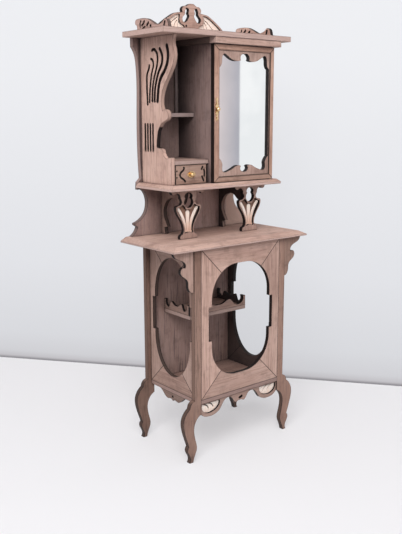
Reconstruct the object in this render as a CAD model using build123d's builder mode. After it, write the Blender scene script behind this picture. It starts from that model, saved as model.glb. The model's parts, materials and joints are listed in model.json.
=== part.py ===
from build123d import *
import os

# Miniature display cabinet in thin sheet wood: a lower case with oval openings on cabriole
# legs, an open gap with balusters, and an upper cabinet with a door, a drawer and a crest.
# Millimetres, +Z up, front towards -Y, origin on the floor under the middle of the part.

# ---- stock ----
post_stock = 2.0          # legs, boards and the upper back
panel_stock = 1.6         # frames, side panels, shelves and balusters
trim_stock = 1.4          # aprons, brackets and side crests
inlay_stock = 0.4         # light inlays
inlay_recess = 0.7        # face of an inlay behind the face round it
inlay_fit = 0.06          # gap round an inlay in its pocket
inlay_rib = 0.36          # cuts that part the fields of an inlay
leaf_rib = 0.5            # cuts across the bowls of the apron

# ---- lower case ----
case_width = 48.0
case_depth = 33.6
floor_top = 24.9          # top of the bottom board above the ground
frame_height = 60.1
post_width = 3.2
side_inset = 1.8          # side frames behind the outer faces of the legs
floor_stock = 1.6
knee_reach = 5.5          # knee of a leg, outward of its post
foot_inner = 0.9          # inner edge of a foot, outward of its post
foot_outer = 2.7          # outer edge of a foot, outward of its post

front_opening_width = 30.8
front_opening_height = 45.4
front_opening_corner = 13.0
side_opening_width = 22.8
side_opening_height = 48.8
side_opening_arch = 16.0  # height of each arched end
notch_depth = 1.6         # shallow square recess half way up each oval
notch_height = 13.6

shelf_width = 30.0
shelf_depth = 17.4
shelf_stock = 1.6
shelf_rise = 28.5         # underside of the inner shelf above the bottom board
rail_stock = 1.0
rail_height = 4.2
rail_post = 1.3
rail_base = 1.2

apron_setback = 0.5
apron_drop = 6.3
side_apron_length = 17.4
side_apron_drop = 3.4
eye_length = 2.2          # opening in the middle of the front apron
eye_width = 1.0
side_eye_radius = 0.45
bracket_reach = 9.5
bracket_drop = 16.2

# ---- table top and gap ----
table_stock = 2.0
table_side_overhang = 11.0
table_front_overhang = 1.8
table_back_inset = 0.4    # back edge of the table top in front of the back legs' faces
bevel_run = 2.6
bevel_rise = 1.4
gap_height = 19.4
baluster_front = 13.2
baluster_centre = 16.2
baluster_half_width = 6.1
flute_band = 0.7          # curved band that ties the flutes together at the foot
support_face = 16.2       # outer face of a support bracket

# ---- upper cabinet ----
base_width = 57.0
base_front = 7.6
base_bevel_run = 1.3
base_bevel_rise = 1.1
upper_width = 50.4
wing_reach = 5.8          # foot of the back panel, outward of the cabinet
flare_reach = 3.4         # head of the back panel, outward of the cabinet
first_slit = 1.5          # curved slits of the openwork side, from the front edge back
second_slit = 1.2
third_slit = 1.0
fourth_slit = 0.9
fifth_slit = 1.0
straight_slit = 0.95
straight_pitch = 1.7
upper_height = 55.0
side_front = 12.2         # front edge of the openwork side and of the drawer
box_front = 10.7          # front edges of the walls of the door box
divider_face = -7.0       # face of the divider towards the open shelves
open_shelf_depth = 10.0
open_shelf_rise = 25.4
batten_width = 1.3
batten_stock = 0.9
batten_gap = 1.0          # between the batten and the divider
cavity_height = 7.6
housing_wall = 1.4
housing_setback = 1.4     # side of the housing behind the drawer's face
top_width = 64.0
top_front = 7.0
cornice_height = 2.3
cornice_face = 7.2
cornice_left_stock = 0.8
cornice_right_stock = 1.6
side_crest_face = 26.4
side_crest_length = 22.4
side_crest_rise = 4.9
crest_height = 12.6
crest_reach = 19.2
crest_eye_radius = 0.4
ridge_slit = 0.9          # bold and fine slits of the side crests
ridge_fine_slit = 0.65
ridge_eye_radius = 0.5

# ---- door ----
door_stock = 1.6
door_gap = 0.2            # behind the door, and above and below it
door_stile = 2.6
door_rail = 2.2
door_end_gap = 0.2        # hinge edge short of the outer face of the side panel
fret_stock = 0.95
fret_recess = 0.25
fret_band = 0.3
mirror_stock = 0.4
hinge_pin_radius = 0.35
hinge_clearance = 0.06
hinge_seat = 0.02         # glue film round a pin in the door
pin_in_door = 1.6
pin_in_board = 1.0
pin_end_gap = 0.2
pull_rise = 28.1          # middle of the pull above the lower edge of the door
pull_height = 8.8
pull_width = 1.4
pull_stock = 0.3
pull_knob_radius = 0.85
pull_knob_stem = 0.25
pull_knob_reach = 0.7     # centre of the pull's ball in front of its plate

# ---- drawer ----
drawer_gap = 0.2
drawer_front_stock = 1.2
drawer_wall = 0.8
drawer_back_gap = 2.0     # between the drawer and the back panel
drawer_wall_drop = 1.2    # walls lower than the front
overlay_stock = 0.4
overlay_slit = 0.7
overlay_eye_radius = 0.3
knob_radius = 0.95
knob_stem_radius = 0.45
knob_stem = 0.5           # clear of the overlay
knob_reach = 1.05         # centre of the knob in front of the drawer
knob_plate_width = 4.2    # brass plate under the knob, on the overlay
knob_plate_height = 2.4
knob_plate_stock = 0.2
knob_clearance = 0.1

# ---- derived places; depths are measured back from the front faces of the legs ----
case_front = (table_front_overhang - case_depth) / 2
half_case = case_width / 2
post_inner = half_case - post_width
table_under = floor_top + frame_height
table_face = table_under + table_stock
base_under = table_face + gap_height
base_face = base_under + post_stock
top_under = base_face + upper_height
top_face = top_under + post_stock
back_posts = case_depth - post_stock
side_face = half_case - side_inset
side_back = side_face - panel_stock
side_middle = case_depth / 2
board_under = floor_top - floor_stock
frame_middle = floor_top + frame_height / 2
half_upper = upper_width / 2
upper_inner = half_upper - panel_stock
divider_back = divider_face + panel_stock
upper_back_front = case_depth - table_back_inset - post_stock
upper_rear = upper_back_front + post_stock
cornice_under = top_under - cornice_height
shelf_under = floor_top + shelf_rise
shelf_face = shelf_under + shelf_stock
shelf_front = back_posts - shelf_depth
open_shelf_under = base_face + open_shelf_rise
open_shelf_face = open_shelf_under + panel_stock
housing_under = base_face + cavity_height
housing_face = housing_under + panel_stock
cavity_right = divider_face - housing_wall
door_front = box_front - door_gap - door_stock
door_left = divider_face
door_right = half_upper - door_end_gap
door_low = base_face + door_gap
door_high = cornice_under - door_gap
door_width = door_right - door_left
door_height = door_high - door_low
door_middle_x = (door_left + door_right) / 2
door_middle_z = (door_low + door_high) / 2
hinge_x = door_right - door_stock / 2
hinge_depth = door_front + door_stock / 2
hinge_hole_radius = hinge_pin_radius + hinge_clearance
pin_reach = pin_in_board + door_gap
drawer_left = -upper_inner + drawer_gap
drawer_right = cavity_right - drawer_gap
drawer_low = base_face + drawer_gap
drawer_high = housing_under - drawer_gap
drawer_middle_x = (drawer_left + drawer_right) / 2
drawer_middle_z = (drawer_low + drawer_high) / 2
pocket_depth = inlay_stock + inlay_recess
side_depth = upper_back_front - side_front
support_reach = upper_back_front - baluster_front - panel_stock


# ---- helpers ----
def front_plane(depth, x=0.0, z=0.0):
    """Sheet parallel to the front: local x is X, local y is Z, extrude(-t) goes back."""
    return Plane(origin=(x, case_front + depth, z), x_dir=(1, 0, 0), z_dir=(0, -1, 0))


def side_plane(x, depth=0.0, z=0.0):
    """Sheet parallel to the sides: local x is depth, local y is Z, extrude(t) goes to +X."""
    return Plane(origin=(x, case_front + depth, z), x_dir=(0, 1, 0), z_dir=(1, 0, 0))


def slab(x_range, depth_range, z_range):
    """Plain board between pairs of faces, added to the part being built."""
    sizes = [high - low for low, high in (x_range, depth_range, z_range)]
    x, depth, z = [(low + high) / 2 for low, high in (x_range, depth_range, z_range)]
    with Locations((x, case_front + depth, z)):
        Box(*sizes)


def both_sides(face):
    """The face together with its mirror image across the middle."""
    return face + mirror(face, about=Plane.YZ)


def drawn_in(margin, *stops):
    """The stops of an outline, each moved towards their middle by the margin."""
    places = [Vector(*stop) for stop in stops]
    middle = sum(places, Vector()) / len(places)
    return [place + (middle - place).normalized() * margin for place in places]


def slit(width, *stops):
    """Slit of even width along a curve through the stops, with round ends."""
    with BuildSketch() as sketch:
        with BuildLine():
            path = Spline(*stops)
        trace(line_width=width)
        with Locations(path @ 0, path @ 1):
            Circle(width / 2)
    return sketch.sketch


def frame_members(members, width, height, reach_x, reach_z):
    """Mitred members of a frame about its middle, each tapering inward by the reaches."""
    x = width / 2
    z = height / 2
    faces = {
        "top": ((-x, z), (reach_x - x, z - reach_z), (x - reach_x, z - reach_z), (x, z)),
        "bottom": ((-x, -z), (x, -z), (x - reach_x, reach_z - z), (reach_x - x, reach_z - z)),
        "left": ((-x, -z), (reach_x - x, reach_z - z), (reach_x - x, z - reach_z), (-x, z)),
        "right": ((x, -z), (x, z), (x - reach_x, z - reach_z), (x - reach_x, reach_z - z)),
    }
    with BuildSketch() as sketch:
        for member in members:
            Polygon(*faces[member], align=None)
    return sketch.sketch


def case_frame(members, width, opening):
    """Members of a lower case frame with their share of the opening."""
    reach = min(width, frame_height) / 2 - post_stock
    with BuildSketch() as sketch:
        add(frame_members(members, width, frame_height, reach, reach))
        add(opening, mode=Mode.SUBTRACT)
    return sketch.sketch


piece_count = 0


def finish(builder, name):
    """Labels a piece and writes its file."""
    global piece_count
    builder.part.label = name
    export_step(builder.part, f"parts/{name}.step")
    piece_count += 1


os.makedirs("parts", exist_ok=True)


# ---- legs: each post and its cabriole leg are one flat piece ----
def leg_point(offset, share):
    """Point of the right-hand leg, outward of its post and up from the floor."""
    return (half_case + knee_reach * offset, floor_top * share)


with BuildSketch() as leg_face:
    with BuildLine():
        post_line = Line((post_inner, table_under), (half_case, table_under))
        outer_line = Line(post_line @ 1, leg_point(0, 1.02))
        knee_top = Spline(outer_line @ 1, leg_point(0.31, 0.98), leg_point(0.44, 0.905))
        knee = Spline(knee_top @ 1, leg_point(0.745, 0.845), leg_point(1, 0.73), leg_point(0.945, 0.555),
                      leg_point(0.71, 0.39), leg_point(0.545, 0.285))
        sole_edge = (half_case + foot_outer, 0)
        ankle = Spline(knee @ 1, leg_point(0.655, 0.205), leg_point(0.47, 0.12), sole_edge)
        sole = Line(ankle @ 1, (half_case + foot_inner, 0))
        inner_curve = Spline(sole @ 1, leg_point(0.055, 0.09), leg_point(-0.165, 0.225),
                             leg_point(-0.075, 0.34), leg_point(0.075, 0.5), leg_point(0.035, 0.615),
                             leg_point(-0.2, 0.71), (post_inner, floor_top * 0.77))
        Line(inner_curve @ 1, post_line @ 0)
    make_face()

for place, depth in (("front", 0), ("back", back_posts)):
    with BuildPart() as leg_right:
        with BuildSketch(front_plane(depth)):
            add(leg_face)
        extrude(amount=-post_stock)
    finish(leg_right, f"leg_{place}_right")
    with BuildPart() as leg_left:
        mirror(leg_right.part, about=Plane.YZ)
    finish(leg_left, f"leg_{place}_left")

# ---- bottom board, notched round the four posts ----
with BuildPart() as bottom_board:
    slab((-side_face, side_face), (post_stock, back_posts), (board_under, floor_top))
    slab((-post_inner, post_inner), (0, case_depth), (board_under, floor_top))
finish(bottom_board, "bottom_board")

# ---- front frame: four mitred members round a notched oval ----
with BuildSketch() as front_oval:
    RectangleRounded(front_opening_width, front_opening_height, front_opening_corner)
    Rectangle(front_opening_width + 2 * notch_depth, notch_height)

for member, kind in (("top", "rail"), ("bottom", "rail"), ("left", "stile"), ("right", "stile")):
    with BuildPart() as front_member:
        with BuildSketch(front_plane(0, z=frame_middle)):
            add(case_frame((member,), 2 * post_inner, front_oval.sketch))
        extrude(amount=-panel_stock)
    finish(front_member, f"front_{member}_{kind}")

# ---- side frames: two mitred rails and two mitred stiles each ----
side_straight = side_opening_height - 2 * side_opening_arch
with BuildSketch() as side_oval:
    Rectangle(side_opening_width, side_straight)
    with Locations((0, side_straight / 2), (0, -side_straight / 2)):
        Ellipse(side_opening_width / 2, side_opening_arch)
    Rectangle(side_opening_width + 2 * notch_depth, notch_height)

for side, inner_face in (("left", -side_face), ("right", side_back)):
    for kind, members in (("rails", ("top", "bottom")), ("stiles", ("left", "right"))):
        with BuildPart() as side_members:
            with BuildSketch(side_plane(inner_face, side_middle, frame_middle)):
                add(case_frame(members, back_posts - post_stock, side_oval.sketch))
            extrude(amount=panel_stock)
        finish(side_members, f"{side}_frame_{kind}")

# ---- lower back panel, between the back posts ----
with BuildPart() as lower_back_panel:
    slab((-post_inner, post_inner), (back_posts, back_posts + panel_stock), (floor_top, table_under))
finish(lower_back_panel, "lower_back_panel")


# ---- front apron with a pocket at each end for a light inlay ----
def apron_point(x, share):
    """Point of the apron, as shares of the half length and of the drop."""
    return (post_inner * x, board_under - apron_drop * share)


def apron_pocket(margin):
    """Bowl-shaped pockets near the ends of the apron, drawn smaller by the margin."""
    top_left, *bowl_stops = drawn_in(margin, apron_point(0.52, 0.1), apron_point(0.965, 0.1),
                                     apron_point(0.965, 0.4), apron_point(0.87, 0.7),
                                     apron_point(0.67, 0.7), apron_point(0.58, 0.55),
                                     apron_point(0.52, 0.24))
    with BuildSketch() as sketch:
        with BuildLine():
            bowl = Spline(*bowl_stops)
            Polyline(bowl @ 1, top_left, bowl @ 0)
        make_face()
    return both_sides(sketch.sketch)


with BuildSketch() as apron_half:
    with BuildLine():
        apron_top = Polyline(apron_point(1, 0.68), apron_point(1, 0), apron_point(0, 0),
                             apron_point(0, 0.56))
        scallops = Spline(apron_top @ 1, apron_point(0.05, 0.56), apron_point(0.1, 0.62),
                          apron_point(0.155, 0.5), apron_point(0.24, 0.16), apron_point(0.32, 0.12),
                          apron_point(0.385, 0.19), apron_point(0.45, 0.42), apron_point(0.56, 0.84))
        Spline(scallops @ 1, apron_point(0.67, 0.98), apron_point(0.81, 0.99), apron_top @ 0,
               tangents=(scallops % 1, (1, 1.2)))
    make_face()

with BuildPart() as front_apron:
    with BuildSketch(front_plane(apron_setback)):
        add(both_sides(apron_half.sketch))
        with Locations(apron_point(0.02, 0.35)):
            SlotOverall(eye_length, eye_width, rotation=18, mode=Mode.SUBTRACT)
    extrude(amount=-trim_stock)
    with BuildSketch(front_plane(apron_setback)):
        add(apron_pocket(0))
    extrude(amount=-pocket_depth, mode=Mode.SUBTRACT)
finish(front_apron, "front_apron")

apron_ribs = (
    ((0.655, 0.5), (0.685, 0.33), (0.735, 0.2), (0.815, 0.13)),
    ((0.78, 0.5), (0.8, 0.35), (0.84, 0.24), (0.895, 0.17)),
)
with BuildPart() as apron_inlays:
    with BuildSketch(front_plane(apron_setback + inlay_recess)):
        add(apron_pocket(inlay_fit))
        for stops in apron_ribs:
            add(both_sides(slit(leaf_rib, *[apron_point(*stop) for stop in stops])), mode=Mode.SUBTRACT)
    extrude(amount=-inlay_stock)
finish(apron_inlays, "apron_inlays")

# ---- side aprons, a lobed tongue in the middle of each side ----
def tongue_point(x, share):
    return (side_apron_length / 2 * x, -side_apron_drop * share)


with BuildSketch() as side_apron_half:
    with BuildLine():
        lobe = Spline(tongue_point(1, 0), tongue_point(0.75, 0.35), tongue_point(0.4, 0.9),
                      tongue_point(0.1, 0.8), tongue_point(0, 1))
        Polyline(lobe @ 1, (0, 0), lobe @ 0)
    make_face()
    with Locations(tongue_point(0, 0.45)):
        Circle(side_eye_radius, mode=Mode.SUBTRACT)

for side, inner_face in (("left", -side_face), ("right", side_face - trim_stock)):
    with BuildPart() as side_apron:
        with BuildSketch(side_plane(inner_face, side_middle, board_under)):
            add(both_sides(side_apron_half.sketch))
        extrude(amount=trim_stock)
    finish(side_apron, f"side_apron_{side}")

# ---- inner shelf with a low scrolled rail on three edges ----
with BuildPart() as inner_shelf:
    slab((-shelf_width / 2, shelf_width / 2), (shelf_front, back_posts), (shelf_under, shelf_face))
finish(inner_shelf, "inner_shelf")


def gallery_face(length):
    """Rail standing on its shelf: end posts, two scrolls and a dip in the middle."""
    half = length / 2
    with BuildSketch() as sketch:
        with BuildLine():
            outline = Polyline((0, 0), (half, 0), (half, rail_height), (half - rail_post, rail_height))
            scroll = Spline(outline @ 1, (half - rail_post - 0.3, 1.5 * rail_base),
                            (0.62 * half, rail_base), (0.42 * half, 0.9 * rail_height),
                            (0.2 * half, 0.66 * rail_height), (0, 0.58 * rail_height))
            Line(scroll @ 1, outline @ 0)
        make_face()
    return both_sides(sketch.sketch)


with BuildPart() as gallery_front:
    with BuildSketch(front_plane(shelf_front, z=shelf_face)):
        add(gallery_face(shelf_width))
    extrude(amount=-rail_stock)
finish(gallery_front, "gallery_front")

side_rail_length = shelf_depth - rail_stock
side_rail_middle = back_posts - side_rail_length / 2
for side, inner_face in (("left", -shelf_width / 2), ("right", shelf_width / 2 - rail_stock)):
    with BuildPart() as gallery_side:
        with BuildSketch(side_plane(inner_face, side_rail_middle, shelf_face)):
            add(gallery_face(side_rail_length))
        extrude(amount=rail_stock)
    finish(gallery_side, f"gallery_{side}")


# ---- scrolled brackets outside the front posts, under the table top ----
def hook(reach, drop):
    return (half_case + bracket_reach * reach, table_under - bracket_drop * drop)


with BuildPart() as bracket_right:
    with BuildSketch(front_plane(apron_setback)):
        with BuildLine():
            bracket_top = Polyline(hook(0, 1), hook(0, 0), hook(1, 0))
            upper_curve = Spline(bracket_top @ 1, hook(0.72, 0.18), hook(0.48, 0.245), hook(0.39, 0.32),
                                 hook(0.42, 0.39))
            Spline(upper_curve @ 1, hook(0.59, 0.39), hook(0.65, 0.47), hook(0.59, 0.555), hook(0.42, 0.63),
                   hook(0.3, 0.71), hook(0.27, 0.86), hook(0.18, 0.97), bracket_top @ 0)
        make_face()
    extrude(amount=-trim_stock)
finish(bracket_right, "bracket_right")

with BuildPart() as bracket_left:
    mirror(bracket_right.part, about=Plane.YZ)
finish(bracket_left, "bracket_left")

# ---- table top, bevelled on the front and the ends ----
table_half = half_case + table_side_overhang
with BuildPart() as table_top:
    slab((-table_half, table_half), (-table_front_overhang, case_depth - table_back_inset),
         (table_under, table_face))
    upper_face = table_top.faces().sort_by(Axis.Z)[-1]
    rim = upper_face.edges().sort_by(Axis.Y)[:-1]
    chamfer(rim, length=bevel_run, length2=bevel_rise, reference=upper_face)
finish(table_top, "table_top")


# ---- flat balusters under the front of the upper cabinet, with a light tulip inlay ----
def gap_point(x, share):
    """Point between the table top and the base board of the upper cabinet."""
    return (x, table_face + gap_height * share)


def vase(x, share):
    """Point of a baluster, as a share of its half width."""
    return gap_point(baluster_half_width * x, share)


def foot_band(width):
    """Curved band across the neck of a baluster."""
    return slit(width, vase(-0.29, 0.142), vase(0, 0.158), vase(0.29, 0.142))


def flutes():
    """Three flutes that widen upward from a curved band, the outer two leaning out."""
    with BuildSketch() as sketch:
        for side in (-1, 1):
            with BuildLine():
                foot_line = Line(vase(side * 0.13, 0.15), vase(side * 0.3, 0.15))
                outer_curve = Spline(foot_line @ 1, vase(side * 0.36, 0.33), vase(side * 0.55, 0.47),
                                     vase(side * 0.84, 0.61))
                head_curve = Spline(outer_curve @ 1, vase(side * 0.78, 0.64), vase(side * 0.66, 0.625))
                Spline(head_curve @ 1, vase(side * 0.36, 0.48), vase(side * 0.18, 0.33), foot_line @ 0)
            make_face()
        with BuildLine():
            middle_foot = Line(vase(-0.07, 0.15), vase(0.07, 0.15))
            right_side = Line(middle_foot @ 1, vase(0.14, 0.54))
            crown = Spline(right_side @ 1, vase(0, 0.58), vase(-0.14, 0.54))
            Line(crown @ 1, middle_foot @ 0)
        make_face()
        add(foot_band(flute_band))
    return sketch.sketch


with BuildSketch() as baluster_half:
    with BuildLine():
        foot_lines = Polyline(gap_point(0, 1), gap_point(0, 0), vase(0.63, 0))
        foot_bulge = Spline(foot_lines @ 1, vase(0.71, 0.035), vase(0.66, 0.075), vase(0.5, 0.1))
        body_curve = Spline(foot_bulge @ 1, vase(0.43, 0.14), vase(0.4, 0.19), vase(0.42, 0.25),
                            vase(0.53, 0.34), vase(0.7, 0.43), vase(0.88, 0.51), vase(0.99, 0.6),
                            vase(1, 0.645))
        shoulder = Spline(body_curve @ 1, vase(0.92, 0.675), vase(0.69, 0.69), vase(0.54, 0.735),
                          vase(0.56, 0.78), vase(0.65, 0.825))
        arch = Spline(shoulder @ 1, vase(0.67, 0.88), vase(0.83, 0.925), vase(1.08, 0.9))
        tip = Spline(arch @ 1, vase(1.25, 0.905), vase(1.36, 0.95))
        Polyline(tip @ 1, vase(1.36, 1), foot_lines @ 0)
    make_face()
    with BuildLine():
        bowl = Spline(vase(0, 0.63), vase(0.2, 0.645), vase(0.36, 0.71), vase(0.36, 0.765),
                      vase(0.25, 0.82))
        upper_lobe = Spline(bowl @ 1, vase(0.32, 0.865), vase(0.22, 0.915), vase(0, 0.935))
        Line(upper_lobe @ 1, bowl @ 0)
    make_face(mode=Mode.SUBTRACT)

with BuildSketch() as vase_half:
    with BuildLine():
        foot_line = Line(vase(0, 0.15), vase(0.32, 0.15))
        wall = Spline(foot_line @ 1, vase(0.34, 0.25), vase(0.45, 0.34), vase(0.62, 0.43),
                      vase(0.79, 0.51), vase(0.9, 0.6), vase(0.89, 0.64))
        crown = Spline(wall @ 1, vase(0.68, 0.66), vase(0.45, 0.695), vase(0.24, 0.615), vase(0, 0.6))
        Line(crown @ 1, foot_line @ 0)
    make_face()

for side, centre in (("left", -baluster_centre), ("right", baluster_centre)):
    with BuildPart() as baluster:
        with BuildSketch(front_plane(baluster_front, centre)):
            add(both_sides(baluster_half.sketch))
        extrude(amount=-panel_stock)
        with BuildSketch(front_plane(baluster_front, centre)):
            add(both_sides(vase_half.sketch))
            add(foot_band(flute_band + 2 * inlay_fit))
        extrude(amount=-pocket_depth, mode=Mode.SUBTRACT)
    finish(baluster, f"baluster_{side}")

with BuildPart() as baluster_inlays:
    for centre in (-baluster_centre, baluster_centre):
        with BuildSketch(front_plane(baluster_front + inlay_recess, centre)):
            add(flutes())
    extrude(amount=-inlay_stock)
finish(baluster_inlays, "baluster_inlays")

# ---- upper back panel, one sheet from the table top to the top board ----
def wing(offset, share):
    """Point of the back panel beside the gap, outward of the cabinet."""
    return gap_point(half_upper + wing_reach * offset, share)


def flare(offset, share):
    """Point of the back panel beside the upper cabinet."""
    return (half_upper + flare_reach * offset, base_face + upper_height * share)


with BuildSketch() as back_half:
    with BuildLine():
        foot_curve = Spline(wing(1, 0), wing(0.59, 0.11), wing(0.47, 0.19))
        lip = Polyline(foot_curve @ 1, wing(0.71, 0.23), wing(0.72, 0.27))
        waist = Spline(lip @ 1, wing(0.19, 0.34), wing(-0.24, 0.48), wing(-0.38, 0.64), wing(-0.29, 0.82),
                       wing(0, 0.94), wing(0.4, 0.955))
        ledge = Polyline(waist @ 1, wing(0.38, 1.1), flare(0.15, 0.03))
        upper_curve = Spline(ledge @ 1, flare(0.24, 0.12), flare(0.29, 0.5), flare(0.32, 0.82),
                             flare(0.59, 0.9), flare(1, 0.94))
        Polyline(upper_curve @ 1, flare(1, 1), (0, top_under), (0, table_face), foot_curve @ 0)
    make_face()

with BuildPart() as upper_back_panel:
    with BuildSketch(front_plane(upper_back_front)):
        add(both_sides(back_half.sketch))
    extrude(amount=-post_stock)
finish(upper_back_panel, "upper_back_panel")

# ---- curved support brackets, from the back panel over to the balusters ----
def support_point(reach, share):
    return gap_point(upper_back_front - support_reach * reach, share)


with BuildSketch() as support_profile:
    with BuildLine():
        wall_lines = Polyline(support_point(0.16, 0), support_point(0, 0), support_point(0, 1),
                              support_point(1, 1), support_point(0.98, 0.93))
        nose = Spline(wall_lines @ 1, support_point(0.93, 0.78), support_point(0.86, 0.68),
                      support_point(0.79, 0.645))
        arch = Spline(nose @ 1, support_point(0.69, 0.69), support_point(0.59, 0.755),
                      support_point(0.47, 0.778), support_point(0.35, 0.76), support_point(0.24, 0.71),
                      support_point(0.14, 0.61), support_point(0.09, 0.49), support_point(0.11, 0.37),
                      support_point(0.17, 0.27), support_point(0.25, 0.16))
        Polyline(arch @ 1, support_point(0.12, 0.14), wall_lines @ 0)
    make_face()

for side, inner_face in (("left", -support_face), ("right", support_face - panel_stock)):
    with BuildPart() as support_bracket:
        with BuildSketch(side_plane(inner_face)):
            add(support_profile)
        extrude(amount=panel_stock)
    finish(support_bracket, f"support_bracket_{side}")

# ---- base board of the upper cabinet, bevelled and drilled for the lower hinge pin ----
with BuildPart() as base_board:
    slab((-base_width / 2, base_width / 2), (base_front, upper_back_front), (base_under, base_face))
    board_top = base_board.faces().sort_by(Axis.Z)[-1]
    board_rim = board_top.edges().sort_by(Axis.Y)[:-1]
    chamfer(board_rim, length=base_bevel_run, length2=base_bevel_rise, reference=board_top)
    with Locations((hinge_x, case_front + hinge_depth, base_face)):
        Hole(hinge_hole_radius, depth=pin_in_board + pin_end_gap)
finish(base_board, "base_board")


# ---- openwork side panel: scrolled front edge, curved slits above and straight ones below ----
def side_point(offset, share):
    """Point of the openwork panel, back from its front edge line and up from the base board."""
    return (side_front + side_depth * offset, base_face + upper_height * share)


slit_runs = (
    (first_slit, (0.11, 0.93), (0.08, 0.9), (0.075, 0.85), (0.11, 0.81), (0.2, 0.765), (0.3, 0.73),
     (0.385, 0.67), (0.42, 0.61), (0.435, 0.57)),
    (second_slit, (0.34, 0.915), (0.29, 0.89), (0.26, 0.865), (0.28, 0.815), (0.37, 0.77), (0.44, 0.725),
     (0.49, 0.68), (0.52, 0.63), (0.53, 0.57)),
    (third_slit, (0.6, 0.908), (0.55, 0.915), (0.48, 0.905), (0.42, 0.87), (0.42, 0.83), (0.48, 0.77),
     (0.54, 0.725), (0.585, 0.67), (0.605, 0.62), (0.61, 0.57)),
    (fourth_slit, (0.64, 0.853), (0.585, 0.843), (0.56, 0.81), (0.6, 0.775), (0.64, 0.73), (0.67, 0.68),
     (0.695, 0.62), (0.705, 0.565)),
    (fifth_slit, (0.7, 0.81), (0.715, 0.79), (0.775, 0.755), (0.79, 0.71), (0.79, 0.65), (0.78, 0.59),
     (0.775, 0.55)),
)
straight_slits = 4
with BuildPart() as side_panel_left:
    with BuildSketch(side_plane(-half_upper)):
        with BuildLine():
            panel_lines = Polyline(side_point(0, 0.19), side_point(0, 0), (upper_back_front, base_face),
                                   (upper_back_front, top_under), side_point(-0.14, 1))
            top_scroll = Spline(panel_lines @ 1, side_point(-0.07, 0.965), side_point(-0.12, 0.88),
                                side_point(-0.05, 0.79), side_point(0.13, 0.71), side_point(0.265, 0.64),
                                side_point(0.32, 0.56), side_point(0.266, 0.502))
            middle_scroll = Spline(top_scroll @ 1, side_point(0.17, 0.512), side_point(0.09, 0.48),
                                   side_point(0.115, 0.449), side_point(0.225, 0.433),
                                   side_point(0.37, 0.4), side_point(0.45, 0.345),
                                   side_point(0.475, 0.295), side_point(0.485, 0.258))
            lower_step = Spline(middle_scroll @ 1, side_point(0.4, 0.25), side_point(0.3, 0.238),
                                side_point(0.28, 0.217))
            Spline(lower_step @ 1, side_point(0.235, 0.195), side_point(0.17, 0.182),
                   side_point(0.074, 0.187), panel_lines @ 0)
        make_face()
        for width, *stops in slit_runs:
            add(slit(width, *[side_point(*stop) for stop in stops]), mode=Mode.SUBTRACT)
        with Locations(side_point(0.74, 0.32)):
            with GridLocations(straight_pitch, 1, straight_slits, 1):
                SlotOverall(0.2 * upper_height, straight_slit, rotation=90, mode=Mode.SUBTRACT)
    extrude(amount=panel_stock)
finish(side_panel_left, "side_panel_left")

with BuildPart() as side_panel_right:
    slab((upper_inner, half_upper), (box_front, upper_back_front), (base_face, top_under))
finish(side_panel_right, "side_panel_right")

with BuildPart() as divider:
    slab((divider_face, divider_back), (box_front, upper_back_front), (base_face, top_under))
finish(divider, "divider")

# ---- open shelf and the corner batten above it ----
with BuildPart() as open_shelf:
    slab((-upper_inner, divider_face), (upper_back_front - open_shelf_depth, upper_back_front),
         (open_shelf_under, open_shelf_face))
finish(open_shelf, "open_shelf")

with BuildPart() as corner_batten:
    slab((divider_face - batten_gap - batten_width, divider_face - batten_gap),
         (upper_back_front - batten_stock, upper_back_front), (open_shelf_face, cornice_under))
finish(corner_batten, "corner_batten")

# ---- housing of the drawer ----
with BuildPart() as drawer_housing_top:
    slab((-upper_inner, divider_face), (side_front, upper_back_front), (housing_under, housing_face))
finish(drawer_housing_top, "drawer_housing_top")

with BuildPart() as drawer_housing_side:
    slab((cavity_right, divider_face), (side_front + housing_setback, upper_back_front),
         (base_face, housing_under))
finish(drawer_housing_side, "drawer_housing_side")

# ---- drawer ----
drawer_box_front = side_front + drawer_front_stock
drawer_back = upper_back_front - drawer_back_gap
drawer_wall_top = drawer_high - drawer_wall_drop
drawer_inner_left = drawer_left + drawer_wall
drawer_inner_right = drawer_right - drawer_wall
with BuildPart() as drawer_front:
    slab((drawer_left, drawer_right), (side_front, drawer_box_front), (drawer_low, drawer_high))
finish(drawer_front, "drawer_front")

with BuildPart() as drawer_walls:
    slab((drawer_left, drawer_inner_left), (drawer_box_front, drawer_back), (drawer_low, drawer_wall_top))
    slab((drawer_inner_right, drawer_right), (drawer_box_front, drawer_back), (drawer_low, drawer_wall_top))
    slab((drawer_inner_left, drawer_inner_right), (drawer_back - drawer_wall, drawer_back),
         (drawer_low + drawer_wall, drawer_wall_top))
finish(drawer_walls, "drawer_walls")

with BuildPart() as drawer_floor:
    slab((drawer_inner_left, drawer_inner_right), (drawer_box_front, drawer_back),
         (drawer_low, drawer_low + drawer_wall))
finish(drawer_floor, "drawer_floor")


# fretted overlay: bracket-shaped slits either side of the knob and eyes at the left end
def overlay_point(x, z):
    """Point of the overlay, as shares of its half width and half height."""
    return ((drawer_right - drawer_left) / 2 * x, (drawer_high - drawer_low) / 2 * z)


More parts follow.
